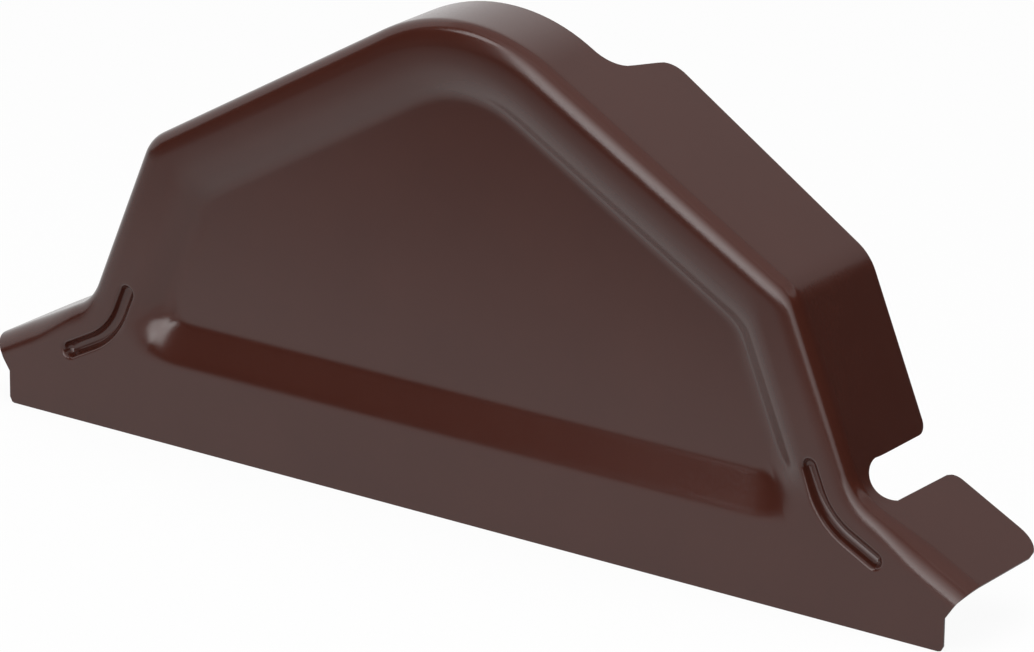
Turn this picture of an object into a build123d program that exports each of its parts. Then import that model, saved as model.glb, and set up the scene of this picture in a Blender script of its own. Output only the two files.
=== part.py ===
"""Ridge end cap: one piece of thin painted steel sheet, drawn over a former and trimmed.

A house-shaped front face with a turned rim, a recessed panel with a wide slope along its foot, two bent
stiffening beads, a skirt below, and a flange behind the rim that tucks under the ridge.
Millimetres, +X along the face, -Y out of the face, +Z up. The two skins of the sheet are formed as two
solid blocks, the second one a sheet's thickness inside the first, and the cap is what lies between them.
"""
import os
from math import cos, radians, sin, tan

from build123d import *

# Sheet and rim
SHEET = 0.5              # thickness of the sheet
RIM_RADIUS = 3.8         # main bend between face and flange
RIM_TILT = 14.0          # slope of the face before that bend, degrees
RIM_EASE = 13.0          # gentle bend from the flat face to that slope
RIM_FLAT = 0.3           # straight stretch between the two bends
# Outline of the flange, seen from the front, right half
HALF_WIDTH = 150.0       # centre to the tip of a wing
SHOULDER_X = 98.0        # centre to the shoulder corner
SHOULDER_Z = 81.0        # height of the shoulder corner
PITCH = 30.0             # slope of the ridge sides, degrees
LEG_ANGLE = 67.5         # steepness of the short leg under the shoulder, degrees
VALLEY_Z = 33.5          # height of the corner between leg and wing
TIP_Z = 16.7             # height of the tip of a wing
APEX_RADIUS = 50.0
SHOULDER_RADIUS = 12.0
VALLEY_RADIUS = 15.0
# Skirt under the wings
SKIRT_INSET = 6.2        # tip of a wing to the side of the skirt
SKIRT_SIDE = 8.7         # height of the skirt's straight side
SKIRT_CORNER = 1.5       # rounding of its lower corners
END_STEP = 3.0           # how far the end edge has moved out where the face turns into the rim
END_RISE = 4.4           # and how far it has risen there
END_RADIUS = 8.0         # rounding of the end edge at that place
# Flange depths, measured back from the front face
FLANGE_DEPTH = 35.9      # legs and wings
SLOPE_DEPTH = 41.5       # sides, next to the relief
RELIEF_DEPTH = 21.8      # cut back over the apex
RELIEF_HALF = 31.5       # centre to the foot of the relief's side
RELIEF_LEAN = 4.2        # how far the relief's side leans outward
RELIEF_FOOT = 7.0        # rounding at the foot of the relief's side
RELIEF_PEAK = 4.5        # rounding at its rear corner
NOTCH_WIDTH = 11.7       # slot between leg and wing
NOTCH_SHIFT = 0.2        # the slot's middle line, from the bend towards the wing
NOTCH_FRONT = 7.4        # depth at which the slot's round end begins
NOTCH_FLARE = 0.25       # how much wider than the slot that end is, on each side
NOTCH_LIP = 3.0          # rounding at the mouth of the slot
TIP_RADIUS = 8.0         # rear corner of the wing
# Recessed panel
BORDER = 14.0            # flange to the edge of the recess along the legs
SLOPE_BORDER = 12.4      # and along the slopes
PANEL_DEPTH = 4.0
RECESS_FOOT = 22.6       # lower edge of the recess
SIDE_SLANT = 27.0        # slant of the recess's sides from the face, degrees
FOOT_SLANT = 22.4        # slant of the recess's lower side, degrees
RECESS_APEX = 36.0       # rounding of the recess's outline at the top
RECESS_SHOULDER = 12.0   # at the shoulders
RECESS_CORNER = 11.0     # at the lower corners
EDGE_SOFT = 7.0          # rounding along the edge of the recess
FLOOR_SOFT = 7.0         # rounding where its sides meet its floor
# Stiffening beads
BEAD_CLEAR = 3.7         # edge of the recess to the bead's centre line, measured towards the flange
BEAD_RADIUS = 1.75
BEAD_BEND = 14.0         # radius of the bend in the centre line
BEAD_LEG = 12.6          # arm along the leg
BEAD_WING = 15.7         # arm along the wing
BEAD_SOFT = 1.0          # rounding along the bead's edge

FAR = 25.0               # how far rough forms run past their trimmed edges
OVERCUT = 0.8            # how far cutting forms run past the faces they cut
TOUCH = 0.01             # levels nearer than this count as one
SHARP = 8.0              # angle from which two faces count as meeting in an edge, degrees


def direction(angle):
    """Unit vector running outward and down at an angle under the horizontal."""
    return Vector(cos(radians(angle)), -sin(radians(angle)))


def outward(along):
    """Unit vector square to a line that runs outward and down, pointing off the cap."""
    return Vector(-along.Y, along.X)


def crossing(p, u, q, v):
    """Point where the line through p along u meets the line through q along v."""
    d = q - p
    return p + u * ((d.X * v.Y - d.Y * v.X) / (u.X * v.Y - u.Y * v.X))


def moved_in(points, shifts):
    """Closed clockwise polygon with each side moved inward by its own shift."""
    count = len(points)
    lines = []
    for i in range(count):
        along = (points[(i + 1) % count] - points[i]).normalized()
        lines.append((points[i] + Vector(along.Y, -along.X) * shifts[i], along))
    return [crossing(*lines[i - 1], *lines[i]) for i in range(count)]


def both_halves(right):
    """Points of the right half, led by their mirror images in the opposite order."""
    return [Vector(-p.X, p.Y) for p in reversed(right) if p.X > 0] + right


def rounded(points, radii):
    """Face of a closed polygon with each corner rounded by its own radius, nought for a sharp one."""
    face = make_face(Polyline(*[(p.X, p.Y) for p in points], close=True))
    for point, radius in zip(points, radii):
        if radius > 0:
            face = fillet(face.vertices().sort_by_distance((point.X, point.Y, 0))[0], radius)
    return face


def at_depth(y):
    """Drawing plane parallel to the face, y behind it, seen from the front."""
    return Plane(origin=(0, y, 0), x_dir=(1, 0, 0), z_dir=(0, -1, 0))


apex = Vector(0, SHOULDER_Z + SHOULDER_X * tan(radians(PITCH)))
shoulder = Vector(SHOULDER_X, SHOULDER_Z)
leg = direction(LEG_ANGLE)
valley = shoulder + leg * ((SHOULDER_Z - VALLEY_Z) / -leg.Y)
tip = Vector(HALF_WIDTH, TIP_Z)
wing = (tip - valley).normalized()


def edges_at(block, y):
    """Edges of the block that lie at depth y, leaving out those of its rough lower end."""
    level = block.edges().filter_by_position(Axis.Y, y - TOUCH, y + TOUCH)
    reach = HALF_WIDTH + FAR - OVERCUT
    return [e for e in level if e.center().Z > 0 and abs(e.center().X) < reach]


def is_sharp(block, edge):
    """True where the two faces along an edge meet at an angle."""
    middle = edge.position_at(0.5)
    normals = [f.normal_at(middle) for f in block.faces() if edge in f.edges()]
    return len(normals) == 2 and normals[0].get_angle(normals[1]) > SHARP


def rough_block(k):
    """Solid behind the face, its skin k inside the outer one, with the rim turned."""
    reach = HALF_WIDTH + FAR + k
    wing_end = valley + wing * ((reach - valley.X) / wing.X)
    points = both_halves([apex, shoulder, valley, wing_end, Vector(reach, -FAR - k)])
    bends = [VALLEY_RADIUS + k, SHOULDER_RADIUS - k]
    radii = [0, 0, *bends, APEX_RADIUS - k, *reversed(bends), 0, 0]
    outline = rounded(moved_in(points, [0, k, k, k, k, k, k, 0, 0]), radii)
    block = extrude(at_depth(k) * outline, amount=-(SLOPE_DEPTH + FAR))
    tilt = radians(RIM_TILT)
    slope = (RIM_EASE - k) * tan(tilt / 2) + RIM_FLAT + (RIM_RADIUS - k) * tan(radians(90) / 2 - tilt / 2)
    face = block.faces().sort_by(Axis.Y)[0]
    block = chamfer(edges_at(block, k), slope * cos(tilt), slope * sin(tilt), reference=face)
    block = fillet(edges_at(block, k), RIM_EASE - k)
    return fillet(edges_at(block, k + slope * sin(tilt)), RIM_RADIUS - k)


def recess_outline(y, k):
    """Outline of the recess at depth y, for the skin k inside the outer one."""
    side = y / tan(radians(SIDE_SLANT)) - k / sin(radians(SIDE_SLANT))
    foot = y / tan(radians(FOOT_SLANT)) - k / sin(radians(FOOT_SLANT))
    corner = crossing(shoulder, leg, Vector(0, RECESS_FOOT), Vector(1, 0))
    shifts = [BORDER + side, SLOPE_BORDER + side, SLOPE_BORDER + side, BORDER + side, foot]
    points = moved_in(both_halves([apex, shoulder, corner]), shifts)
    low, middle, high = [max(radius - side, SHEET) for radius in (RECESS_CORNER, RECESS_SHOULDER, RECESS_APEX)]
    return at_depth(y) * rounded(points, [low, middle, high, middle, low])


def recess(k):
    """Space pressed out of the face: slanted sides down to the panel, softened where they meet it."""
    floor = PANEL_DEPTH + k
    space = loft([recess_outline(-OVERCUT, k), recess_outline(floor, k)], ruled=True)
    return fillet(space.edges().filter_by_position(Axis.Y, floor - TOUCH, floor + TOUCH), FLOOR_SOFT + k)


def bead(k):
    """Round-bottomed groove that follows the right leg and then the wing."""
    inset = BORDER - BEAD_CLEAR
    knee = crossing(valley - outward(leg) * inset, leg, valley - outward(wing) * inset, wing)
    stations = [knee - leg * BEAD_LEG, knee, knee + wing * BEAD_WING]
    path = FilletPolyline(*[(p.X, 0, p.Y) for p in stations], radius=BEAD_BEND)
    groove = sweep(Plane(origin=path @ 0, z_dir=path % 0) * Circle(BEAD_RADIUS + k), path=path)
    for end in (0, 1):
        groove += Pos(path @ end) * Sphere(BEAD_RADIUS + k)
    return groove


def formed_block(k):
    """Rough block with the recess and both beads pressed into its face, their edges softened."""
    block = rough_block(k) - recess(k)
    block = fillet([e for e in edges_at(block, k) if is_sharp(block, e)], EDGE_SOFT - k)
    right = bead(k)
    block = block - right - mirror(right, Plane.YZ)
    return fillet([e for e in edges_at(block, k) if is_sharp(block, e)], BEAD_SOFT - k)


def end_trim():
    """Waste beside the skirt and past the tip of the right wing, seen from the front."""
    side = Vector(HALF_WIDTH - SKIRT_INSET, SKIRT_SIDE)
    past = tip + outward(wing) * FAR
    inner = side.X - 2 * SKIRT_CORNER
    waste = [Vector(inner, -FAR), Vector(inner, 0), Vector(side.X, 0), side,
             side + Vector(END_STEP, END_RISE), tip, past,
             Vector(past.X + HALF_WIDTH, past.Y), Vector(past.X + HALF_WIDTH, -FAR)]
    face = rounded(waste, [0, 0, SKIRT_CORNER, 0, END_RADIUS, 0, 0, 0, 0])
    return extrude(at_depth(-FAR) * face, amount=-(SLOPE_DEPTH + 4 * FAR))


def rear_trim():
    """Waste behind the flange, seen from above: shallow over the apex, deepest beside the relief."""
    rear = Vector(HALF_WIDTH, FLANGE_DEPTH)
    right = [Vector(RELIEF_HALF, RELIEF_DEPTH), Vector(RELIEF_HALF + RELIEF_LEAN, SLOPE_DEPTH),
             Vector(SHOULDER_X, FLANGE_DEPTH), rear, rear - Vector(0, 2 * TIP_RADIUS),
             rear + Vector(FAR, -2 * TIP_RADIUS), rear + Vector(FAR, 2 * FAR)]
    radii = [RELIEF_FOOT, RELIEF_PEAK, 2 * SHOULDER_RADIUS, TIP_RADIUS, 0, 0, 0]
    return extrude(rounded(both_halves(right), radii[::-1] + radii), amount=2 * HALF_WIDTH, both=True)


def notch():
    """Slot through the bend between the right leg and wing, open to the rear, with a full round end."""
    out = (outward(leg) + outward(wing)).normalized()
    half = NOTCH_WIDTH / 2
    wide = 2 * NOTCH_WIDTH
    bulb = half + NOTCH_FLARE
    centre = NOTCH_FRONT + bulb
    right = [Vector(half, centre), Vector(half, FLANGE_DEPTH), Vector(wide, FLANGE_DEPTH),
             Vector(wide, SLOPE_DEPTH + FAR)]
    slot = rounded(both_halves(right), [0, 0, NOTCH_LIP, 0, 0, NOTCH_LIP, 0, 0])
    slot += Pos(0, centre) * Circle(bulb)
    place = Plane(origin=(valley.X, 0, valley.Y), x_dir=(-out.Y, 0, out.X), z_dir=(-out.X, 0, -out.Y))
    return extrude(place * Pos(-NOTCH_SHIFT, 0) * slot, amount=NOTCH_WIDTH, both=True)


cap = formed_block(0) - formed_block(SHEET)
cap -= Pos(0, 0, -2 * FAR) * Box(4 * HALF_WIDTH, 8 * FAR, 4 * FAR)
for trim in (end_trim(), notch()):
    cap = cap - trim - mirror(trim, Plane.YZ)
cap -= rear_trim()

# Origin on the middle plane, level with the skirt's lower edge, midway between face and rear edge
cap = Pos(0, -cap.bounding_box().center().Y, 0) * cap

os.makedirs("parts", exist_ok=True)
export_step(cap, "parts/ridge_end_cap.step")
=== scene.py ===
"""Ridge end cap: its coated sheet, studio stage and camera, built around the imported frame.

The cap is one drawn sheet. Its outer skin is a grid: columns leave the flange's rear edge, run over the rim
and down the face to the skirt's lower edge, and rows follow the outline from the left wing to the right one.
The inner skin lies a sheet's thickness behind the outer one, and a narrow strip closes the cut edge.
"""
import math

import bpy
import numpy as np
from bpy.props import FloatProperty, FloatVectorProperty, IntProperty, PointerProperty
from bpy.types import Operator, Panel, PropertyGroup
from mathutils import Matrix, Vector


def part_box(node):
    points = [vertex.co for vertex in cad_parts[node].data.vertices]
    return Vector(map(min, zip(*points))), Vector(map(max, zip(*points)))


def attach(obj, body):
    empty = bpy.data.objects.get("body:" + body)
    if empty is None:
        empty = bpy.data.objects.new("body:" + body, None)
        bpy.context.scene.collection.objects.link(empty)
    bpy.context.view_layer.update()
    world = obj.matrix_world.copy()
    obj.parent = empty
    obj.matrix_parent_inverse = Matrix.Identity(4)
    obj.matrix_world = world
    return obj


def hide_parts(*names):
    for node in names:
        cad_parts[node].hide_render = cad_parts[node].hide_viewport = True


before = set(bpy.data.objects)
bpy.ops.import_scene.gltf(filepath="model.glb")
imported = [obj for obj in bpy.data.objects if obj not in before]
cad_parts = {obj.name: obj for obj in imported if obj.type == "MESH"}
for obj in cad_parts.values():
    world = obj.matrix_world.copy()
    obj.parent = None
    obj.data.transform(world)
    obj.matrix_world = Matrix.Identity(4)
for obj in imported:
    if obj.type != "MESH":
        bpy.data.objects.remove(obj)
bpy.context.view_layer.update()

bl_info = {
    "name": "Ridge End Cap",
    "version": (1, 0, 0),
    "blender": (4, 5, 0),
    "location": "View3D > Sidebar > Ridge Cap",
    "description": "Forms, coats and stages a drawn sheet-metal end cap for a roof ridge",
    "category": "Object",
}

NODE = "ridge_end_cap"
BODY = "root"
LOW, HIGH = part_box(NODE)

# Samples and rows of the grid
EASE_SAMPLES = 7         # of the recess's side, averaged in its corners
MAIN_ROWS = 12           # along the rim's main bend
GENTLE_ROWS = 7          # and along its gentle one
SLOT_ROWS = 9            # of the flange behind the notches' round ends
FRONT_ROWS = 6           # and between those and the rim
TRACK_STEPS = 6001       # along the outline, to find places on it
SLOT_STEPS = 60001       # along it, to find the notches' sides
HEADING_STEPS = 3001     # along it, to average its heading
EDGE_STEPS = 4000        # along the flange's rear edge
SHARE_STEPS = 361        # down a column of the face
BLUR_STEPS = 9           # of those, over which the columns share their rows
HALVINGS = 30            # to find the depth of the recess's side
TOUCH = 1e-6             # closer than this counts as touching

# Density of the columns: on the plain slopes, then what each place adds and over what reach
PLAIN_COLUMNS = 0.6
RELIEF_COLUMNS, RELIEF_REACH = 1.8, 0.006
OUTER_COLUMNS, OUTER_REACH = 1.4, 0.003
VALLEY_COLUMNS, VALLEY_REACH = 2.0, 0.008
BEAD_COLUMNS, BEAD_REACH = 3.0, 0.0035

# Spacing of the rows down the face: plain, at the grooves, on the recess's sides and at its foot
PLAIN_ROW, BEAD_ROW, SIDE_ROW, FOOT_ROW = 0.0035, 0.00045, 0.001, 0.0006
ROW_REACH = 0.0042
LEG_FROM, LEG_REACH = 0.004, 0.012       # inside the shoulder, where the grooves' rows begin
INSIDE_REACH = 0.008                     # outside the shoulder, where the recess's rows end
REAR_CROWD, FRONT_CROWD = 1.3, 1.6       # how the flange's rows draw together at its rear edge and in front
BULB_REACH = 0.002                       # beside a notch, over which columns make way for its round end

# Where the columns go: reach of the wing ends and of the averaged heading, and the bends of the cubic curve
END_REACH = 0.02
WING_FROM = 0.004        # past the valley, where the rim begins to widen
HEADING_REACH = 0.025
LEAVE_SHARE, LEAVE_MOST, LAND_SHARE = 0.3, 0.025, 0.4
SHOULDER_LANDS, VALLEY_LANDS = 0.8, 0.92

# Headings of the recess's side between which its lower corners lie
CORNER_FROM, CORNER_TO = 0.2, 0.8

# Stretch of a noise's values that the finishes use, and the surroundings' colour
NOISE_LOW, NOISE_HIGH = 0.3, 0.7
WHITE = (1, 1, 1, 1)
CARD_FOLDS = 24          # of each curved card


def length(name, default, text):
    """Property for a length in metres."""
    return FloatProperty(name=name, description=text, default=default, unit="LENGTH", precision=5)


def angle(name, degrees, text):
    """Property for an angle, its default given in degrees."""
    return FloatProperty(name=name, description=text, default=math.radians(degrees), unit="ROTATION")


def colour(name, default, text):
    """Property for a linear colour."""
    return FloatVectorProperty(name=name, description=text, default=default, size=3, subtype="COLOR",
                               min=0, max=1)


def amount(name, default, text):
    """Property for a plain number."""
    return FloatProperty(name=name, description=text, default=default, precision=4)


class CapSizes(PropertyGroup):
    """Sizes of the drawn sheet, close to those in the part's source."""
    half_width: length("Half width", HIGH.x, "Centre to the tip of a wing")
    face_y: length("Face", LOW.y, "Where the flat front face lies")
    sheet: length("Sheet", 0.0005, "Thickness of the sheet")
    rim_radius: length("Rim radius", 0.0038, "Main bend between face and flange")
    rim_tilt: angle("Rim tilt", 14.0, "Slope of the face before the main bend")
    rim_ease: length("Rim ease", 0.013, "Radius of the gentle bend from the flat face to that slope")
    wing_rim: length("Wing rim", 0.0062, "Main bend at the end of a wing")
    wing_ease: length("Wing ease", 0.008, "Gentle bend at the end of a wing")
    rim_flat: length("Rim flat", 0.0003, "Straight stretch between the two bends")
    shoulder_x: length("Shoulder", 0.098, "Centre to the shoulder corner")
    shoulder_z: length("Shoulder height", 0.081, "Height of the shoulder corner")
    pitch: angle("Pitch", 30.0, "Slope of the ridge sides")
    leg_angle: angle("Leg angle", 67.5, "Steepness of the leg under the shoulder")
    valley_z: length("Valley height", 0.0335, "Height of the corner between leg and wing")
    tip_z: length("Tip height", 0.0167, "Height of the tip of a wing")
    apex_radius: length("Apex radius", 0.050, "Bend of the flange at the top")
    shoulder_radius: length("Shoulder radius", 0.012, "Bend of the flange at the shoulders")
    valley_radius: length("Valley radius", 0.015, "Bend of the flange between leg and wing")
    skirt_inset: length("Skirt inset", 0.0062, "Tip of a wing to the side of the skirt")
    skirt_side: length("Skirt side", 0.0087, "Height of the skirt's straight side")
    skirt_corner: length("Skirt corner", 0.0015, "Rounding of the skirt's lower corners")
    end_step: length("End step", 0.003, "How far the end edge has moved out where the rim begins")
    end_rise: length("End rise", 0.0044, "How far the end edge has risen there")
    flange_depth: length("Flange depth", 0.0359, "Depth of legs and wings")
    slope_depth: length("Slope depth", 0.0415, "Depth of the sides next to the relief")
    relief_depth: length("Relief depth", 0.0218, "Depth of the flange over the apex")
    relief_half: length("Relief half", 0.0315, "Centre to the foot of the relief's side")
    relief_lean: length("Relief lean", 0.0042, "How far the relief's side leans outward")
    relief_foot: length("Relief foot", 0.007, "Rounding at the foot of the relief's side")
    relief_peak: length("Relief peak", 0.0045, "Rounding at its rear corner")
    notch_width: length("Notch width", 0.0117, "Slot between leg and wing")
    notch_shift: length("Notch shift", 0.0002, "The slot's middle line, from the bend towards the wing")
    notch_front: length("Notch front", 0.0074, "Depth at which the slot's round end begins")
    notch_flare: length("Notch flare", 0.00025, "How much wider than the slot that end is, on each side")
    notch_lip: length("Notch lip", 0.003, "Rounding at the mouth of the slot")
    tip_radius: length("Tip radius", 0.0073, "Rounding of the wing's rear corner")
    border: length("Border", 0.0138, "Flange to the edge of the recess along the legs")
    slope_border: length("Slope border", 0.0126, "Flange to the edge of the recess along the slopes")
    panel_depth: length("Panel depth", 0.004, "Depth of the recessed panel")
    recess_foot: length("Recess foot", 0.0226, "Height of the recess's lower edge")
    side_slant: angle("Side slant", 30.0, "Slant of the recess's sides from the face")
    foot_slant: angle("Foot slant", 22.4, "Slant of the recess's lower side")
    recess_apex: length("Recess apex", 0.036, "Rounding of the recess at the top")
    recess_shoulder: length("Recess shoulder", 0.012, "Rounding of the recess at the shoulders")
    recess_corner: length("Recess corner", 0.011, "Rounding of the recess at its lower corners")
    corner_ease: length("Corner ease", 0.008, "Reach over which the recess's corners run into its flat sides")
    slope_soft: length("Slope soft", 0.018, "Rounding along the edge of the recess under the slopes")
    edge_soft: length("Edge soft", 0.012, "Rounding along its edge beside the legs")
    corner_soft: length("Corner soft", 0.024, "Rounding of both edges in the lower corners")
    foot_soft: length("Foot soft", 0.011, "Rounding along its lower edge")
    floor_soft: length("Floor soft", 0.005, "Rounding where slopes and sides meet the panel")
    crease_soft: length("Crease soft", 0.007, "Rounding where the lower side meets the panel")
    bead_clear: length("Bead clear", 0.0035, "Edge of the recess to the bead's centre line")
    bead_radius: length("Bead radius", 0.002, "Half width of the groove")
    bead_deep: amount("Bead deep", 1.2, "How many times deeper than its half width the groove is")
    bead_bend: length("Bead bend", 0.020, "Bend in the groove's centre line")
    bead_leg: length("Bead leg", 0.0132, "Arm of the groove along the leg")
    bead_wing: length("Bead wing", 0.0157, "Arm of the groove along the wing")
    bead_soft: length("Bead soft", 0.0011, "Rounding along the groove's edge")
    columns: IntProperty(name="Columns", description="Columns of the grid", default=471, min=50)
    rows: IntProperty(name="Rows", description="Rows of the grid on the face", default=66, min=20)


class CapFinish(PropertyGroup):
    """Colours and surface of the coated sheet."""
    paint: colour("Paint", (0.047, 0.0110, 0.0065), "Chocolate brown of the top coat")
    paint_light: colour("Paint, light", (0.052, 0.0130, 0.0080), "Lighter cloud in the top coat")
    roughness: amount("Roughness", 0.18, "Roughness of the top coat")
    grain: length("Grain", 0.0007, "Size of the top coat's fine texture")
    grain_height: length("Grain height", 0.00001, "Height of that texture")
    cloud: length("Cloud", 0.03, "Size of the slow change of tone in the top coat")
    backing: colour("Backing", (0.24, 0.235, 0.22), "Grey coat on the inside of the sheet")
    backing_dark: colour("Backing, dark", (0.19, 0.185, 0.175), "Darker cloud of that coat")
    edge: colour("Cut edge", (0.085, 0.06, 0.053), "Sheared edge of the sheet")
    edge_zinc: colour("Cut edge, zinc", (0.14, 0.125, 0.12), "Bare spots on the sheared edge")


class CapStage(PropertyGroup):
    """Floor, lamps and camera."""
    floor_tone: amount("Floor tone", 0.5, "Brightness of the pale floor")
    floor_reach: length("Floor reach", 4.0, "Half size of the floor")
    floor_white: amount("Floor white", 1.03, "White that the eye sees on the floor")
    floor_glow: amount("Floor glow", 0.92, "Share of that white; the rest shows the shadow")
    fill: amount("Fill", 0.15, "Light from all round on matt surfaces")
    azimuth: angle("Azimuth", 35.15, "Camera round the cap, from the front towards +X")
    elevation: angle("Elevation", 19.64, "Camera above the horizon")
    roll: angle("Roll", 0.56, "Camera about its own axis")
    distance: length("Distance", 1.58834, "Camera to the foot of the face, along its axis")
    aim_right: length("Aim right", 0.01586, "How far right of the foot of the face the axis passes")
    aim_up: length("Aim up", 0.04887, "How far above it the axis passes")
    lens: amount("Lens", 220.79, "Focal length in millimetres on a 36 mm sensor")


class Track:
    """Straight runs joined by tangent arcs, in the plane of the face, walked by arc length."""

    def __init__(self, corners, radii):
        corners = np.asarray(corners, float)
        self.runs = []
        self.length = 0.0
        start = corners[0]
        for i, radius in enumerate(radii, 1):
            come = unit(corners[i] - corners[i - 1])
            go = unit(corners[i + 1] - corners[i])
            turn = math.atan2(come[0] * go[1] - come[1] * go[0], come @ go)
            cut = radius * math.tan(abs(turn) / 2)
            self.add(start, corners[i] - come * cut)
            self.add(corners[i] - come * cut, corners[i] + go * cut, radius, turn, come)
            start = corners[i] + go * cut
        self.add(start, corners[-1])

    def add(self, start, end, radius=0.0, turn=0.0, come=None):
        """Adds a straight run, or an arc that leaves along come and turns by turn."""
        span = radius * abs(turn) if radius else float(np.linalg.norm(end - start))
        along = come if radius else unit(end - start)
        side = math.copysign(1.0, turn)
        centre = start + side * radius * np.array([-along[1], along[0]])
        self.runs.append((self.length, span, start, along, radius, side, centre))
        self.length += span

    def walk(self, s):
        """Points and tangents at arc lengths s: start + along t, or the arc's arm turned by t / radius."""
        point = np.zeros(s.shape + (2,))
        tangent = np.zeros(s.shape + (2,))
        for first, span, start, along, radius, side, centre in self.runs:
            here = s >= first
            t = s[here, None] - first
            if radius:
                cos, sin = np.cos(t / radius), side * np.sin(t / radius)
                arm = start - centre
                point[here] = centre + cos * arm + sin * np.array([-arm[1], arm[0]])
                tangent[here] = cos * along + sin * np.array([-along[1], along[0]])
            else:
                point[here] = start + along * t
                tangent[here] = along
        return point, tangent

    def distance(self, point):
        """Distance from each point to the track, with the ends closed by half circles."""
        nearest = np.full(point.shape[:-1], np.inf)
        for _, span, start, along, radius, side, centre in self.runs:
            if radius:
                arm = start - centre
                out = point - centre
                swept = np.arctan2(side * (arm[0] * out[..., 1] - arm[1] * out[..., 0]), out @ arm)
                swept = np.clip(swept, 0, span / radius)
                cos, sin = np.cos(swept), side * np.sin(swept)
                foot = centre + np.stack([cos * arm[0] - sin * arm[1], sin * arm[0] + cos * arm[1]], axis=-1)
            else:
                t = np.clip((point - start) @ along, 0, span)
                foot = start + t[..., None] * along
            nearest = np.minimum(nearest, np.linalg.norm(point - foot, axis=-1))
        return nearest


def unit(v):
    """Vector of length one along v."""
    return v / np.linalg.norm(v, axis=-1, keepdims=True)


def down_at(slope):
    """Unit vector running outward and down at an angle under the horizontal."""
    return np.array([math.cos(slope), -math.sin(slope)])


def inward_of(along):
    """Unit vectors square to the outline's tangents, pointing into the cap."""
    return np.stack([along[..., 1], -along[..., 0]], axis=-1)


def mirrored(point):
    """The same point on the left half."""
    return point * np.array([-1.0, 1.0])


def smooth_max(a, b, k):
    """Larger of a and b, with a parabola over the stretch where they differ by less than k."""
    h = np.clip(1 - np.abs(a - b) / k, 0, 1)
    return np.maximum(a, b) + h * h * k / 4


def smooth_min(a, b, k):
    """Smaller of a and b, rounded in the same way."""
    return -smooth_max(-a, -b, k)


def rounding(slope, radius):
    """Difference at which a bend of that radius begins: slope x radius x tan(half of the slope's angle)."""
    return np.maximum(slope * radius * np.tan(np.arctan(slope) / 2), 1e-9)


def ease_in(t):
    """Nought below nought, one above one, and a smooth step between."""
    t = np.clip(t, 0, 1)
    return t * t * (3 - 2 * t)


def blurred(values, width):
    """Running mean along the last axis, with the ends repeated."""
    kernel = np.hanning(width + 2)[1:-1]
    kernel /= kernel.sum()
    wide = np.pad(values, [(0, 0)] * (values.ndim - 1) + [(width // 2, width - 1 - width // 2)], mode="edge")
    return np.apply_along_axis(lambda row: np.convolve(row, kernel, mode="valid"), -1, wide)


def bell(t, reach):
    """One at nought, falling off as exp(-(t / reach) squared)."""
    return np.exp(-(t / reach) ** 2)


def hump(t, middle, reach):
    """One about the middle, falling smoothly to nought at the reach."""
    return ease_in(2 * (1 - np.abs(t - middle) / reach))


def walk_to(track, corner):
    """Arc length at which the outline passes nearest to a corner."""
    fine = np.linspace(0, track.length, TRACK_STEPS)
    point, _ = track.walk(fine)
    return fine[np.argmin(np.linalg.norm(point - corner, axis=-1))]


def corners_of(c):
    """Right-hand corners of the flange's outline: apex, shoulder, valley and wing tip."""
    shoulder = np.array([c.shoulder_x, c.shoulder_z])
    apex = np.array([0.0, c.shoulder_z + c.shoulder_x * math.tan(c.pitch)])
    leg = down_at(c.leg_angle)
    valley = shoulder + leg * ((c.shoulder_z - c.valley_z) / -leg[1])
    return apex, shoulder, valley, np.array([c.half_width, c.tip_z])


def outline_of(c):
    """Flange outline from the left wing's tip over the apex to the right wing's tip."""
    apex, shoulder, valley, tip = corners_of(c)
    left = [mirrored(p) for p in (tip, valley, shoulder)]
    radii = [c.valley_radius, c.shoulder_radius, c.apex_radius, c.shoulder_radius, c.valley_radius]
    return Track([*left, apex, shoulder, valley, tip], radii)


def rounded_in(level, a, b, cosine, radius):
    """Inward distance level with the corner between two sides rounded.

    a and b are the distances from the two sides, and cosine is that of the angle between their normals. Where
    the point lies in the wedge that the normals span behind the arc's centre, it is radius less reach.
    """
    u, v = a - radius, b - radius
    p = (cosine * v - u) / (1 - cosine ** 2)
    q = (cosine * u - v) / (1 - cosine ** 2)
    arc = radius - np.sqrt(np.maximum(p * p + q * q + 2 * p * q * cosine, 0))
    return np.where((p > 0) & (q > 0), np.minimum(level, arc), level)


def wall_depth(c, x, z):
    """Depth at which the recess's slanted side, carried on up and down, passes over each point of the face.

    The recess at depth y is the outline moved in by border + y / tan(slant), with rounded corners. The
    inward distance falls as y grows, so the depth where it is nought is found by halving.
    """
    _, shoulder, _, _ = corners_of(c)
    slope_in = inward_of(down_at(c.pitch))
    leg_in = inward_of(down_at(c.leg_angle))
    x = np.abs(x)
    right = (x - shoulder[0]) * slope_in[0] + (z - shoulder[1]) * slope_in[1] - c.slope_border
    left = (-x - shoulder[0]) * slope_in[0] + (z - shoulder[1]) * slope_in[1] - c.slope_border
    leg = (x - shoulder[0]) * leg_in[0] + (z - shoulder[1]) * leg_in[1] - c.border
    foot = z - c.recess_foot
    low = np.full(x.shape, -3 * c.panel_depth)
    high = np.full(x.shape, 3 * c.panel_depth)
    for _ in range(HALVINGS):
        y = (low + high) / 2
        side = y / math.tan(c.side_slant)
        a, b, d, e = right - side, left - side, leg - side, foot - y / math.tan(c.foot_slant)
        level = np.minimum(np.minimum(a, b), np.minimum(d, e))
        for one, two, cosine, radius in ((a, b, math.cos(2 * c.pitch), c.recess_apex),
                                         (a, d, slope_in @ leg_in, c.recess_shoulder),
                                         (d, e, leg_in[1], c.recess_corner)):
            level = rounded_in(level, one, two, cosine, np.maximum(radius - side, c.sheet))
        low = np.where(level > 0, y, low)
        high = np.where(level > 0, high, y)
    return (low + high) / 2


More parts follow.
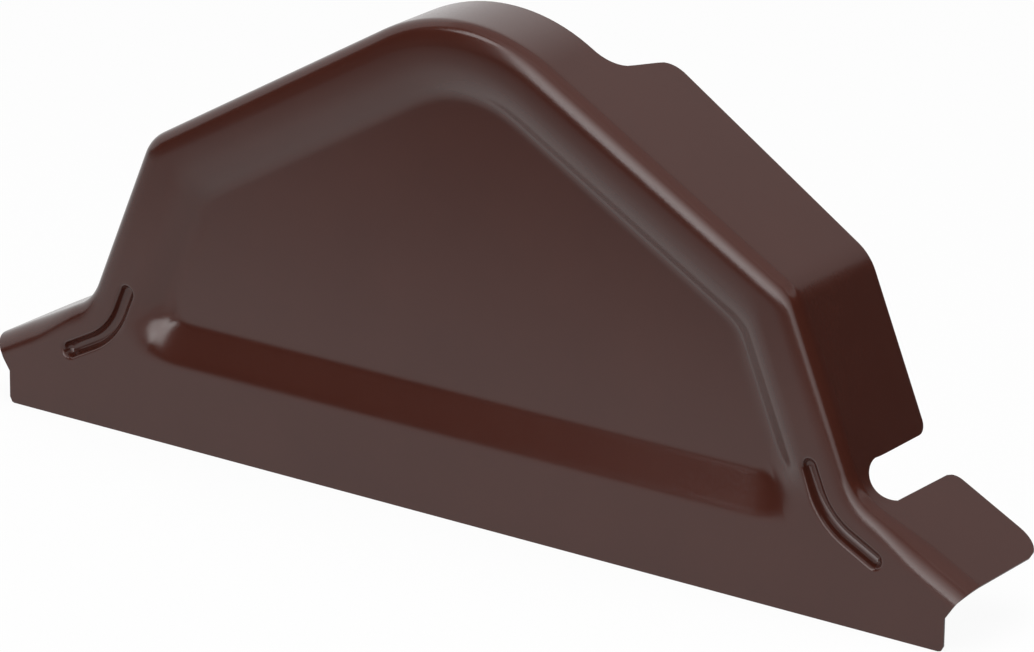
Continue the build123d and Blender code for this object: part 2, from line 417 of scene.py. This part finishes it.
def eased_wall(c, x, z):
    """Weighted mean of the slanted side's depth over a short stretch of x, with a raised cosine's weights.

    Flat sides stay as they are, and the rounded corners run into them softly.
    """
    shares = np.hanning(EASE_SAMPLES + 2)[1:-1]
    shares /= shares.sum()
    shifts = np.linspace(-1, 1, EASE_SAMPLES + 2)[1:-1] * c.corner_ease
    return sum(share * wall_depth(c, x + shift, z) for share, shift in zip(shares, shifts))


def bead_corners(c):
    """Upper end, bend and outer end of the right groove's centre line."""
    _, _, valley, tip = corners_of(c)
    leg, wing = down_at(c.leg_angle), unit(tip - valley)
    inset = c.border - c.bead_clear
    knee = valley + np.linalg.solve(np.array([inward_of(leg), inward_of(wing)]), np.array([inset, inset]))
    return knee - leg * c.bead_leg, knee, knee + wing * c.bead_wing


def bead_depth(c, point):
    """Depth of the two grooves: an arc about the centre line, its edge rounded outward, drawn deeper."""
    path = Track(bead_corners(c), [c.bead_bend])
    away = path.distance(np.stack([np.abs(point[..., 0]), point[..., 1]], axis=-1))
    r, f = c.bead_radius, c.bead_soft
    reach = math.sqrt((r + f) ** 2 - f ** 2)
    groove = np.sqrt(np.maximum(r * r - away ** 2, 0))
    lip = f - np.sqrt(np.maximum(f * f - (reach - away) ** 2, 0))
    return c.bead_deep * np.where(away < reach * r / (r + f), groove, np.where(away < reach, lip, 0.0))


def face_depth(c, point):
    """How far the face lies behind its flat level: recess, rounded at its edge and panel, and grooves."""
    x, z = point[..., 0], point[..., 1]
    step = c.sheet / 10
    wall = eased_wall(c, x, z)
    across = (eased_wall(c, x + step, z) - eased_wall(c, x - step, z)) / (2 * step)
    upward = (eased_wall(c, x, z + step) - eased_wall(c, x, z - step)) / (2 * step)
    slope = np.hypot(across, upward)
    heading = upward / np.maximum(slope, 1e-9)
    sides = [-math.cos(c.pitch), -math.cos(c.leg_angle), CORNER_FROM, CORNER_TO, 1.0]
    corners = [c.corner_soft, c.corner_soft]
    edge = np.interp(heading, sides, [c.slope_soft, c.edge_soft, *corners, c.foot_soft])
    floor = np.interp(heading, sides, [c.floor_soft, c.floor_soft, *corners, c.crease_soft])
    depth = smooth_max(wall, 0.0, rounding(slope, edge))
    return smooth_min(depth, c.panel_depth, rounding(slope, floor)) + bead_depth(c, point)


def rim_profile(c, wing=0.0):
    """Section of the rim from the flange to the face: inset from the flange and depth behind the face.

    Two arcs, the main bend from square down to rim_tilt and the gentle one from there down to nought, with a
    short straight stretch between them. wing runs from nought on slopes and legs to one at a wing's end.
    """
    wing = np.atleast_1d(wing)
    radius = c.rim_radius + wing * (c.wing_rim - c.rim_radius)
    ease = c.rim_ease + wing * (c.wing_ease - c.rim_ease)
    half = c.rim_tilt / 2
    run = ease * math.tan(half) + c.rim_flat + radius * math.tan(math.pi / 4 - half)
    start = run * math.cos(c.rim_tilt) + ease * math.tan(half)
    depth = run * math.sin(c.rim_tilt) + radius * math.tan(math.pi / 4 - half)
    main = np.linspace(math.pi / 2, c.rim_tilt, MAIN_ROWS)[:, None]
    gentle = np.linspace(c.rim_tilt, 0, GENTLE_ROWS)[:, None]
    inset = np.concatenate([radius * (1 - np.sin(main)), start - ease * np.sin(gentle)])
    behind = np.concatenate([depth - radius * np.cos(main), ease * (1 - np.cos(gentle))])
    return inset, behind


def slot_side(c, point):
    """How far each point lies across the right notch's middle line, towards the leg."""
    _, _, valley, tip = corners_of(c)
    out = -unit(inward_of(down_at(c.leg_angle)) + inward_of(unit(tip - valley)))
    mirror = np.stack([np.abs(point[..., 0]), point[..., 1]], axis=-1)
    return (mirror - valley) @ np.array([-out[1], out[0]]) + c.notch_shift


def rear_depth(c, point):
    """Depth of the flange's rear edge over each point of the outline, outside the notches."""
    corners = [(0, c.relief_depth), (c.relief_half, c.relief_depth),
               (c.relief_half + c.relief_lean, c.slope_depth), (c.shoulder_x, c.flange_depth),
               (c.half_width, c.flange_depth)]
    edge = Track(corners, [c.relief_foot, c.relief_peak, 2 * c.shoulder_radius])
    trace, _ = edge.walk(np.linspace(0, edge.length, EDGE_STEPS))
    x = np.abs(point[:, 0])
    depth = np.interp(x, trace[:, 0], trace[:, 1])
    for gap, radius in ((c.half_width - x, c.tip_radius),
                        (np.abs(slot_side(c, point)) - c.notch_width / 2, c.notch_lip)):
        short = np.clip(radius - gap, 0, radius)
        depth = np.minimum(depth, c.flange_depth - radius + np.sqrt(radius ** 2 - short ** 2)
                           + np.where(gap < radius, 0, c.slope_depth))
    return depth


def column_stations(c, track, slots):
    """Arc lengths of the columns: closer at the relief, along legs and wings, at notches and groove ends."""
    fine = np.linspace(0, track.length, TRACK_STEPS)
    point, _ = track.walk(fine)
    x = np.abs(point[:, 0])
    from_middle = np.abs(fine - track.length / 2)
    _, shoulder, valley, _ = corners_of(c)
    density = PLAIN_COLUMNS + OUTER_COLUMNS / (1 + np.exp(-(x - shoulder[0]) / OUTER_REACH))
    density += RELIEF_COLUMNS * bell(x - c.relief_half - c.relief_lean / 2, RELIEF_REACH)
    density += VALLEY_COLUMNS * bell(x - valley[0], VALLEY_REACH)
    for end in bead_corners(c)[::2]:
        density += BEAD_COLUMNS * bell(from_middle - walk_to(track, end) + track.length / 2, BEAD_REACH)
    total = np.concatenate([[0], np.cumsum((density[1:] + density[:-1]) / 2)])
    stations = np.interp(np.linspace(0, total[-1], c.columns), total, fine)
    for wall in slots:
        stations[np.argmin(np.abs(stations - wall))] = wall
    return stations


def slot_walls(c, track):
    """Arc lengths of the two notches' straight sides."""
    fine = np.linspace(0, track.length, SLOT_STEPS)
    point, _ = track.walk(fine)
    within = np.abs(slot_side(c, point)) < c.notch_width / 2
    turns = np.flatnonzero(within[1:] != within[:-1])
    return (fine[turns] + fine[turns + 1]) / 2


def end_trace(c, share):
    """Right-hand end edge of the face at shares of its length, from the rim to the skirt's lower corner."""
    _, _, valley, tip = corners_of(c)
    inset = rim_profile(c, 1.0)[0][-1, 0]
    side = np.array([c.half_width - c.skirt_inset, c.skirt_side])
    knee = side + np.array([c.end_step, c.end_rise])
    inward = inward_of(unit(tip - valley))
    high, low = (knee - tip) @ inward, (side - tip) @ inward
    top = knee + (side - knee) * ((inset - high) / (low - high))
    points = np.array([top, side, [side[0], c.skirt_corner]])
    far = np.concatenate([[0], np.cumsum(np.linalg.norm(np.diff(points, axis=0), axis=1))])
    return np.stack([np.interp(share * far[-1], far, points[:, i]) for i in (0, 1)], axis=-1)


def end_shift(c, inset):
    """How far along the wing the end edge has moved in at each inset of the rim."""
    _, _, valley, tip = corners_of(c)
    wing = unit(tip - valley)
    knee = np.array([c.half_width - c.skirt_inset + c.end_step, c.skirt_side + c.end_rise])
    top = end_trace(c, np.zeros(1))[0]
    insets = [0.0, (knee - tip) @ inward_of(wing), (top - tip) @ inward_of(wing)]
    shifts = [0.0, (tip - knee) @ wing, (tip - top) @ wing]
    return np.interp(inset, insets, shifts)


def face_columns(c, track, stations, start, share):
    """Points of the face at shares of each column.

    A column is a cubic curve: it leaves the rim along the outline's averaged inward normal and lands upright
    on the skirt's lower edge. The outermost columns are drawn over to the end edges.
    """
    fine = np.linspace(0, track.length, HEADING_STEPS)
    _, tangent = track.walk(fine)
    window = 2 * int(HEADING_REACH / (fine[1] - fine[0])) + 1
    heading = blurred(inward_of(tangent).T, window)
    inward = unit(np.stack([np.interp(stations, fine, row) for row in heading], axis=-1))
    middle = track.length / 2
    marks = [walk_to(track, p) - middle for p in corners_of(c)[1:3]] + [middle]
    lands = [SHOULDER_LANDS * c.shoulder_x, VALLEY_LANDS * corners_of(c)[2][0], c.half_width - c.skirt_inset]
    foot_x = np.sign(stations - middle) * np.interp(np.abs(stations - middle), [0, *marks], [0, *lands])
    round_from = np.clip(np.abs(foot_x) - (lands[-1] - c.skirt_corner), 0, c.skirt_corner)
    foot = np.stack([foot_x, c.skirt_corner - np.sqrt(c.skirt_corner ** 2 - round_from ** 2)], axis=-1)
    span = np.linalg.norm(start - foot, axis=-1, keepdims=True)
    leave = start + inward * np.minimum(LEAVE_SHARE * span, LEAVE_MOST)
    land = foot + np.array([0, 1.0]) * LAND_SHARE * span
    t = share[..., None]
    points = ((1 - t) ** 3 * start + 3 * (1 - t) ** 2 * t * leave
              + 3 * (1 - t) * t ** 2 * land + t ** 3 * foot)
    for last, side in ((-1, np.array([1.0, 1.0])), (0, np.array([-1.0, 1.0]))):
        pull = ease_in(1 - np.abs(stations - stations[last]) / END_REACH)
        wanted = end_trace(c, share[:, last]) * side
        points = points + pull[:, None] * (wanted - points[:, last])[:, None, :]
    return points


def row_shares(c, track, stations, start):
    """Share of each column at which each row of the face lies: closer at grooves, recess sides and foot."""
    share = np.repeat(np.linspace(0, 1, SHARE_STEPS)[:, None], len(stations), axis=1)
    points = face_columns(c, track, stations, start, share)
    run = np.linalg.norm(np.diff(points, axis=0), axis=-1)
    middle = (points[1:] + points[:-1]) / 2
    x, z = np.abs(middle[..., 0]), middle[..., 1]
    far = np.cumsum(run, axis=0) + rim_profile(c)[0][-1, 0]
    base, _ = track.walk(stations)
    low = ease_in((np.abs(base[:, 0]) - c.shoulder_x + LEG_FROM) / LEG_REACH)
    wide = c.panel_depth / math.tan(c.side_slant)
    deep = c.panel_depth / math.tan(c.foot_slant)
    inside = ease_in((c.shoulder_x + INSIDE_REACH - x) / INSIDE_REACH)
    effort = 1 / PLAIN_ROW + low / BEAD_ROW * hump(far, c.border - c.bead_clear, ROW_REACH)
    effort += inside / SIDE_ROW * hump(far, c.border + wide / 2, wide)
    for edge in (c.recess_foot, c.recess_foot + deep):
        effort += inside / FOOT_ROW * hump(z, edge, ROW_REACH)
    total = np.concatenate([np.zeros((1, len(stations))), np.cumsum(run * effort, axis=0)])
    total = blurred(total / total[-1], BLUR_STEPS)
    rows = np.linspace(0, 1, c.rows)
    return np.stack([np.interp(rows, total[:, j], share[:, j]) for j in range(len(stations))], axis=1)


def outer_skin(c):
    """Grid of the sheet's outer skin, rows from the flange's rear edge to the skirt's lower edge.

    Returns the points and a mask of the quads that are kept: those inside a notch are left out.
    """
    track = outline_of(c)
    walls = slot_walls(c, track)
    stations = column_stations(c, track, walls)
    base, _ = track.walk(stations)
    from_middle = np.abs(stations - track.length / 2)
    out = from_middle - walk_to(track, corners_of(c)[2]) + track.length / 2
    inset, behind = rim_profile(c, ease_in((out - WING_FROM) / END_REACH))
    side = slot_side(c, base)
    half = c.notch_width / 2
    bulb = half + c.notch_flare
    centre = c.notch_front + bulb
    in_slot = np.abs(side) < half - TOUCH
    at_wall = centre - math.sqrt(bulb ** 2 - half ** 2)
    front = np.where(in_slot, centre - np.sqrt(np.maximum(bulb ** 2 - side ** 2, 0)), at_wall)
    rear = np.where(in_slot, at_wall, rear_depth(c, base))

    # Flange: one band from the rear edge to the depth of the notches' round ends, one from there to the rim
    band = np.linspace(0, 1, SLOT_ROWS)[:, None] ** REAR_CROWD
    behind_slots = rear + (front - rear) * (1 - (1 - band) ** FRONT_CROWD)
    beside_rim = front + (behind[0] - front) * np.linspace(0, 1, FRONT_ROWS)[1:-1, None]
    flange_y = np.concatenate([behind_slots, beside_rim])
    bulge = np.sqrt(np.maximum(bulb ** 2 - (flange_y - centre) ** 2, 0)) - half
    away = np.exp(-np.clip(np.abs(side) - half, 0, None) / BULB_REACH) * ~in_slot
    shift = np.clip(bulge, 0, None) * away * -np.sign(side) * np.sign(base[:, 0])
    shift[len(band):] = 0
    flange_xz, _ = track.walk(np.clip(stations + shift, 0, track.length))

    # Rim: the section carried along the outline, drawn in at the wing ends
    pull = ease_in((from_middle - track.length / 2) / END_REACH + 1) * np.sign(stations - track.length / 2)
    rim_base, rim_tangent = track.walk(np.clip(stations - end_shift(c, inset) * pull, 0, track.length))
    rim_xz = rim_base + inset[..., None] * inward_of(rim_tangent)

    # Face: columns from the rim to the skirt's lower edge
    start = rim_xz[-1]
    share = row_shares(c, track, stations, start)
    face_xz = face_columns(c, track, stations, start, share)[1:]
    face_y = face_depth(c, face_xz)

    flat = np.concatenate([flange_xz, rim_xz, face_xz])
    depth = np.concatenate([flange_y, behind, face_y])
    grid = np.stack([flat[..., 0], c.face_y + depth, np.minimum(flat[..., 1], HIGH.z)], axis=-1)
    keep = np.ones((len(grid) - 1, len(stations) - 1), bool)
    touches = np.abs(side) < half + TOUCH
    keep[:len(band) - 1, touches[1:] & touches[:-1]] = False
    return grid, keep


def skin_normals(grid):
    """Outward unit normals of the grid: the product of its differences along rows and columns."""
    along = np.gradient(grid, axis=1)
    down = np.gradient(grid, axis=0)
    return unit(np.cross(down, along))


def sheet_object(name, grid, keep, thickness):
    """Closed sheet: the outer skin, the same grid moved back by the thickness, and a strip on cut edges."""
    rows, columns = grid.shape[:2]
    count = rows * columns
    outer = grid.reshape(-1, 3)
    inner = outer - thickness * skin_normals(grid).reshape(-1, 3)
    index = np.arange(count).reshape(rows, columns)
    quads = np.stack([index[:-1, :-1], index[1:, :-1], index[1:, 1:], index[:-1, 1:]], axis=-1)[keep]
    sides = np.concatenate([quads[:, [i, (i + 1) % 4]] for i in range(4)])
    free = ~np.isin(sides[:, 0] * count + sides[:, 1], sides[:, 1] * count + sides[:, 0])
    cut = sides[free]
    strip = np.stack([cut[:, 1], cut[:, 0], cut[:, 0] + count, cut[:, 1] + count], axis=-1)
    faces = np.concatenate([quads, quads[:, ::-1] + count, strip])
    used, faces = np.unique(faces, return_inverse=True)
    faces = faces.reshape(-1, 4)
    points = np.concatenate([outer, inner])[used]
    mesh = bpy.data.meshes.new(name)
    mesh.from_pydata(points, [], faces.tolist())
    slots = np.repeat([0, 1, 2], [len(quads), len(quads), len(strip)])
    mesh.polygons.foreach_set("material_index", slots.astype(np.int32))
    mesh.polygons.foreach_set("use_smooth", np.ones(len(faces), bool))
    mark_sharp(mesh, np.searchsorted(used, np.concatenate([cut, cut + count])))
    mesh.update()
    piece = bpy.data.objects.new(name, mesh)
    bpy.context.scene.collection.objects.link(piece)
    return piece


def mark_sharp(mesh, pairs):
    """Marks the edges between these pairs of points as sharp."""
    ends = np.empty(2 * len(mesh.edges), np.int32)
    mesh.edges.foreach_get("vertices", ends)
    ends = np.sort(ends.reshape(-1, 2), axis=1).astype(np.int64)
    pairs = np.sort(pairs, axis=1).astype(np.int64)
    many = len(mesh.vertices)
    sharp = np.isin(ends[:, 0] * many + ends[:, 1], pairs[:, 0] * many + pairs[:, 1])
    mesh.edges.foreach_set("use_edge_sharp", sharp)


def add(tree, kind, values=None):
    """New shader node, with values for the inputs that are named."""
    node = tree.nodes.new("ShaderNode" + kind)
    for name, value in (values or {}).items():
        node.inputs[name].default_value = value
    return node


def feed(tree, source, socket):
    """Gives a socket its source: a plain value or another node's output."""
    if isinstance(source, float):
        socket.default_value = source
    else:
        tree.links.new(source, socket)


def calc(tree, operation, first, second):
    """Number worked out from two others."""
    node = add(tree, "Math")
    node.operation = operation
    feed(tree, first, node.inputs[0])
    feed(tree, second, node.inputs[1])
    return node.outputs["Value"]


def blend(tree, share, first, second):
    """Shader that is the second one by that share, and the first one for the rest."""
    node = add(tree, "MixShader")
    feed(tree, share, node.inputs["Fac"])
    feed(tree, first, node.inputs[1])
    feed(tree, second, node.inputs[2])
    return node.outputs["Shader"]


def along_axis(tree, axis):
    """Place along one of the Object axes."""
    parts = add(tree, "SeparateXYZ")
    feed(tree, add(tree, "TexCoord").outputs["Object"], parts.inputs["Vector"])
    return parts.outputs[axis]


def ranged(tree, source, first, last, start, end):
    """Number that runs from start to end while its source runs from first to last."""
    span = add(tree, "MapRange", {"From Min": first, "From Max": last, "To Min": start, "To Max": end})
    feed(tree, source, span.inputs["Value"])
    return span.outputs["Result"]


def empty_material(name):
    """Node material with nothing but its output: the material, its tree and the output's surface socket."""
    material = bpy.data.materials.new(name)
    material.use_nodes = True
    tree = material.node_tree
    tree.nodes.clear()
    return material, tree, add(tree, "OutputMaterial").inputs["Surface"]


def coat_material(name):
    """Material with a Principled shader: the material, its tree and the shader."""
    material, tree, surface = empty_material(name)
    shader = add(tree, "BsdfPrincipled")
    feed(tree, shader.outputs["BSDF"], surface)
    return material, tree, shader


def noise(tree, size, detail=2.0, roughness=0.5):
    """Noise on Object coordinates with features of about that size."""
    texture = add(tree, "TexNoise", {"Scale": 1 / size, "Detail": detail, "Roughness": roughness})
    feed(tree, add(tree, "TexCoord").outputs["Object"], texture.inputs["Vector"])
    return texture.outputs["Fac"]


def tones(tree, shader, source, low, high, first, second):
    """Gives the shader a colour that runs from one tone to another while its source runs from low to high."""
    node = add(tree, "ValToRGB")
    for element, place, tone in zip(node.color_ramp.elements, (low, high), (first, second)):
        element.position = place
        element.color = (*tone, 1)
    feed(tree, source, node.inputs["Fac"])
    feed(tree, node.outputs["Color"], shader.inputs["Base Color"])


def roughness(tree, shader, source, low, high):
    """Gives the shader a roughness that follows a noise between two values."""
    feed(tree, ranged(tree, source, NOISE_LOW, NOISE_HIGH, low, high), shader.inputs["Roughness"])


def relief(tree, shader, source, height):
    """Gives the shader fine relief of that height."""
    node = add(tree, "Bump", {"Strength": 1.0, "Distance": height})
    feed(tree, source, node.inputs["Height"])
    feed(tree, node.outputs["Normal"], shader.inputs["Normal"])


def brown_coating(finish):
    """Satin chocolate coil coating: slow clouds of tone, fine grain, and gloss that varies a little."""
    material, tree, shader = coat_material("brown_coating")
    cloud = noise(tree, finish.cloud, 3.0)
    grain = noise(tree, finish.grain, 3.0, 0.6)
    tones(tree, shader, cloud, NOISE_LOW, NOISE_HIGH, finish.paint, finish.paint_light)
    roughness(tree, shader, grain, finish.roughness - 0.03, finish.roughness + 0.04)
    shader.inputs["IOR"].default_value = 1.5
    relief(tree, shader, grain, finish.grain_height)
    return material


def grey_backing(finish):
    """Thin grey coat on the inside, clouded and fine-grained."""
    material, tree, shader = coat_material("grey_backing")
    cloud = noise(tree, finish.cloud / 2, 4.0)
    grain = noise(tree, finish.grain)
    tones(tree, shader, cloud, NOISE_LOW, NOISE_HIGH, finish.backing_dark, finish.backing)
    roughness(tree, shader, grain, 0.45, 0.55)
    relief(tree, shader, grain, finish.grain_height)
    return material


def cut_edge(finish):
    """Sheared edge: coating drawn over the steel, with bare spots."""
    material, tree, shader = coat_material("cut_edge")
    spots = noise(tree, finish.grain * 3, 3.0)
    tones(tree, shader, spots, 0.45, 0.65, finish.edge, finish.edge_zinc)
    roughness(tree, shader, spots, 0.4, 0.6)
    return material


class RIDGECAP_OT_form_sheet(Operator):
    """Forms the drawn sheet with its two skins and cut edge, and coats them"""
    bl_idname = "ridge_cap.form_sheet"
    bl_label = "Form the sheet"

    def execute(self, context):
        c, finish = context.scene.cap_sizes, context.scene.cap_finish
        grid, keep = outer_skin(c)
        if not np.isfinite(grid).all():
            raise RuntimeError("the sheet's sizes give no surface")
        piece = sheet_object("cap_sheet", grid, keep, c.sheet)
        for material in (brown_coating(finish), grey_backing(finish), cut_edge(finish)):
            piece.data.materials.append(material)
        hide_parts(NODE)
        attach(piece, BODY)
        return {"FINISHED"}


def stage_card(name, points, faces):
    """Card that belongs to the stage."""
    mesh = bpy.data.meshes.new(name)
    mesh.from_pydata(points, [], faces)
    card = bpy.data.objects.new(name, mesh)
    bpy.context.scene.collection.objects.link(card)
    return card


def flat_card(name, left, right, front, back, height):
    """Level card between two places along X and two along Y."""
    corners = [(left, front, height), (right, front, height), (right, back, height), (left, back, height)]
    return stage_card(name, corners, [(0, 1, 2, 3)])


def curved_card(name, first, last, radius, tall, foot=0.0):
    """Upright card bent round the set between two azimuths, with its lower edge at the foot's height."""
    turn = np.radians(np.linspace(first, last, CARD_FOLDS + 1))
    level = np.full(len(turn), LOW.z + foot)
    ring = np.stack([radius * np.sin(turn), -radius * np.cos(turn), level], axis=-1)
    a = np.arange(CARD_FOLDS)
    b = a + len(turn)
    return stage_card(name, np.concatenate([ring, ring + np.array([0, 0, tall])]),
                      np.stack([a, a + 1, b + 1, b], axis=-1).tolist())


def glowing(card, strength=1.0):
    """Makes a stage card glow, seen only in gloss; returns its node tree and the glow's strength."""
    material, tree, surface = empty_material(card.name)
    glow = add(tree, "Emission", {"Strength": strength})
    feed(tree, glow.outputs["Emission"], surface)
    card.data.materials.append(material)
    card.visible_camera = False
    card.visible_diffuse = False
    card.visible_shadow = False
    return tree, glow.inputs["Strength"]


def towards(azimuth, elevation, distance):
    """Point seen from the origin at an azimuth from the front towards +X and an elevation, in degrees."""
    a, e = math.radians(azimuth), math.radians(elevation)
    return Vector((math.sin(a) * math.cos(e), -math.cos(a) * math.cos(e), math.sin(e))) * distance


def soft_lamp(name, azimuth, elevation, distance, width, height, watts):
    """Rectangular lamp that faces the cap and isn't mirrored in its gloss."""
    data = bpy.data.lights.new(name, "AREA")
    data.shape = "RECTANGLE"
    data.size = width
    data.size_y = height
    data.energy = watts
    lamp = bpy.data.objects.new(name, data)
    lamp.location = towards(azimuth, elevation, distance)
    lamp.rotation_euler = (-lamp.location).to_track_quat("-Z", "Y").to_euler()
    lamp.visible_camera = False
    lamp.visible_glossy = False
    bpy.context.scene.collection.objects.link(lamp)


class RIDGECAP_OT_set_stage(Operator):
    """Sets the pale floor, the studio walls, the lamps, the white surroundings and the camera"""
    bl_idname = "ridge_cap.set_stage"
    bl_label = "Set the stage"

    def execute(self, context):
        stage = context.scene.cap_stage
        self.floor(stage)
        self.walls()
        self.front_glow()
        self.lamps()
        self.surroundings(context.scene, stage)
        self.camera(context.scene, stage)
        context.scene.view_settings.view_transform = "Standard"
        return {"FINISHED"}

    def floor(self, stage):
        """Pale floor under the skirt.

        Seen directly it is white with a faint shadow; mirrored in the gloss it glows, strongest near the cap
        and fading towards the front, a painted pool of light.
        """
        reach = stage.floor_reach
        card = flat_card("floor", -reach, reach, -reach, reach, LOW.z)
        material, tree, surface = empty_material("pale_floor")
        matt = add(tree, "BsdfDiffuse", {"Color": (stage.floor_tone,) * 3 + (1,)}).outputs["BSDF"]
        white = add(tree, "Emission", {"Strength": stage.floor_white}).outputs["Emission"]
        # Painted pool of light: in the gloss the floor glows brightest near the cap and fades towards the
        # front
        mirror = add(tree, "Emission")
        painted_light_pool = ranged(tree, along_axis(tree, "Y"), first=-0.36, last=-0.11, start=0.12, end=0.92)
        feed(tree, painted_light_pool, mirror.inputs["Strength"])
        path = add(tree, "LightPath").outputs
        clear = calc(tree, "MAXIMUM", path["Is Camera Ray"], path["Is Transmission Ray"])
        direct = blend(tree, clear, matt, blend(tree, stage.floor_glow, matt, white))
        feed(tree, blend(tree, path["Is Glossy Ray"], direct, mirror.outputs["Emission"]), surface)
        card.data.materials.append(material)

    def walls(self):
        """Dark cloths beside the camera, a pale wall and a ceiling, seen only in the coating's gloss; the
        wall's light is painted, brighter towards -X.
        """
        glowing(curved_card("left_cloth", -60, -20, radius=2.0, tall=2.6), strength=0.04)
        glowing(curved_card("right_cloth", 38, 150, radius=2.0, tall=1.6), strength=0.05)
        glowing(flat_card("ceiling", left=-2.2, right=2.2, front=-1.2, back=2.2, height=2.8), strength=0.6)
        # Painted light: the back wall glows at full strength towards -X, falling to about half towards +X
        tree, strength = glowing(curved_card("back_wall", 150, 205, radius=2.0, tall=2.8))
        feed(tree, ranged(tree, along_axis(tree, "X"), first=-0.85, last=0.1, start=1.0, end=0.53), strength)

    def front_glow(self):
        """Front box as the gloss sees it: brightest low on the left, fading upward and to the right."""
        glowing(curved_card("high_glow", -42, -23.5, radius=1.5, tall=0.7, foot=0.8), strength=4.5)
        tree, strength = glowing(curved_card("front_glow", -23.5, 44, radius=1.5, tall=2.4))
        upward = calc(tree, "POWER", 0.46, along_axis(tree, "Z"))
        across = ranged(tree, along_axis(tree, "X"), first=-0.56, last=1.0, start=5.6, end=1.2)
        feed(tree, calc(tree, "MULTIPLY", upward, across), strength)

    def lamps(self):
        """Two large soft boxes that light the set: a wide one in front and one overhead."""
        soft_lamp("front_box", 6, 12.5, distance=1.5, width=1.56, height=0.665, watts=11.9)
        soft_lamp("top_box", 65, 80, distance=1.2, width=1.0, height=1.0, watts=15.0)

    def surroundings(self, scene, stage):
        """White round the set for the eye and the gloss, dimmer light for everything else."""
        world = bpy.data.worlds.new("studio")
        scene.world = world
        world.use_nodes = True
        tree = world.node_tree
        tree.nodes.clear()
        path = add(tree, "LightPath").outputs
        seen = calc(tree, "MAXIMUM", path["Is Camera Ray"], path["Is Glossy Ray"])
        seen = calc(tree, "MAXIMUM", seen, path["Is Transmission Ray"])
        white = add(tree, "Background", {"Color": WHITE}).outputs["Background"]
        fill = add(tree, "Background", {"Color": WHITE, "Strength": stage.fill}).outputs["Background"]
        feed(tree, blend(tree, seen, fill, white), add(tree, "OutputWorld").inputs["Surface"])

    def camera(self, scene, stage):
        """Camera at the photograph's angle, aimed beside the foot of the face."""
        back = towards(math.degrees(stage.azimuth), math.degrees(stage.elevation), 1.0)
        level = Vector((math.cos(stage.azimuth), math.sin(stage.azimuth), 0))
        above = back.cross(level)
        cos, sin = math.cos(stage.roll), math.sin(stage.roll)
        right = cos * level + sin * above
        up = cos * above - sin * level
        foot = Vector((0, LOW.y, LOW.z))
        data = bpy.data.cameras.new("camera")
        data.lens = stage.lens
        data.sensor_width = 36.0
        data.clip_end = 50.0
        camera = bpy.data.objects.new("camera", data)
        place = foot + right * stage.aim_right + up * stage.aim_up + back * stage.distance
        camera.matrix_world = Matrix.Translation(place) @ Matrix((right, up, back)).transposed().to_4x4()
        scene.collection.objects.link(camera)
        scene.camera = camera


class RIDGECAP_PT_sidebar(Panel):
    """Lists the steps and the settings that they read"""
    bl_idname = "RIDGECAP_PT_sidebar"
    bl_label = "Ridge end cap"
    bl_space_type = "VIEW_3D"
    bl_region_type = "UI"
    bl_category = "Ridge Cap"

    def draw(self, context):
        for step, settings in ((RIDGECAP_OT_form_sheet, (context.scene.cap_sizes, context.scene.cap_finish)),
                               (RIDGECAP_OT_set_stage, (context.scene.cap_stage,))):
            box = self.layout.box()
            box.operator(step.bl_idname)
            for group in settings:
                for name in group.__annotations__:
                    box.prop(group, name)


CLASSES = (CapSizes, CapFinish, CapStage, RIDGECAP_OT_form_sheet, RIDGECAP_OT_set_stage, RIDGECAP_PT_sidebar)


def register():
    """Registers the classes and puts the settings on the scene."""
    for cls in CLASSES:
        bpy.utils.register_class(cls)
    bpy.types.Scene.cap_sizes = PointerProperty(type=CapSizes)
    bpy.types.Scene.cap_finish = PointerProperty(type=CapFinish)
    bpy.types.Scene.cap_stage = PointerProperty(type=CapStage)


def unregister():
    """Takes the settings and the classes away again."""
    for name in ("cap_sizes", "cap_finish", "cap_stage"):
        delattr(bpy.types.Scene, name)
    for cls in reversed(CLASSES):
        bpy.utils.unregister_class(cls)


def main():
    """Runs the steps in order."""
    register()
    bpy.ops.ridge_cap.form_sheet()
    bpy.ops.ridge_cap.set_stage()
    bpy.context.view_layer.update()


if __name__ == "__main__":
    main()
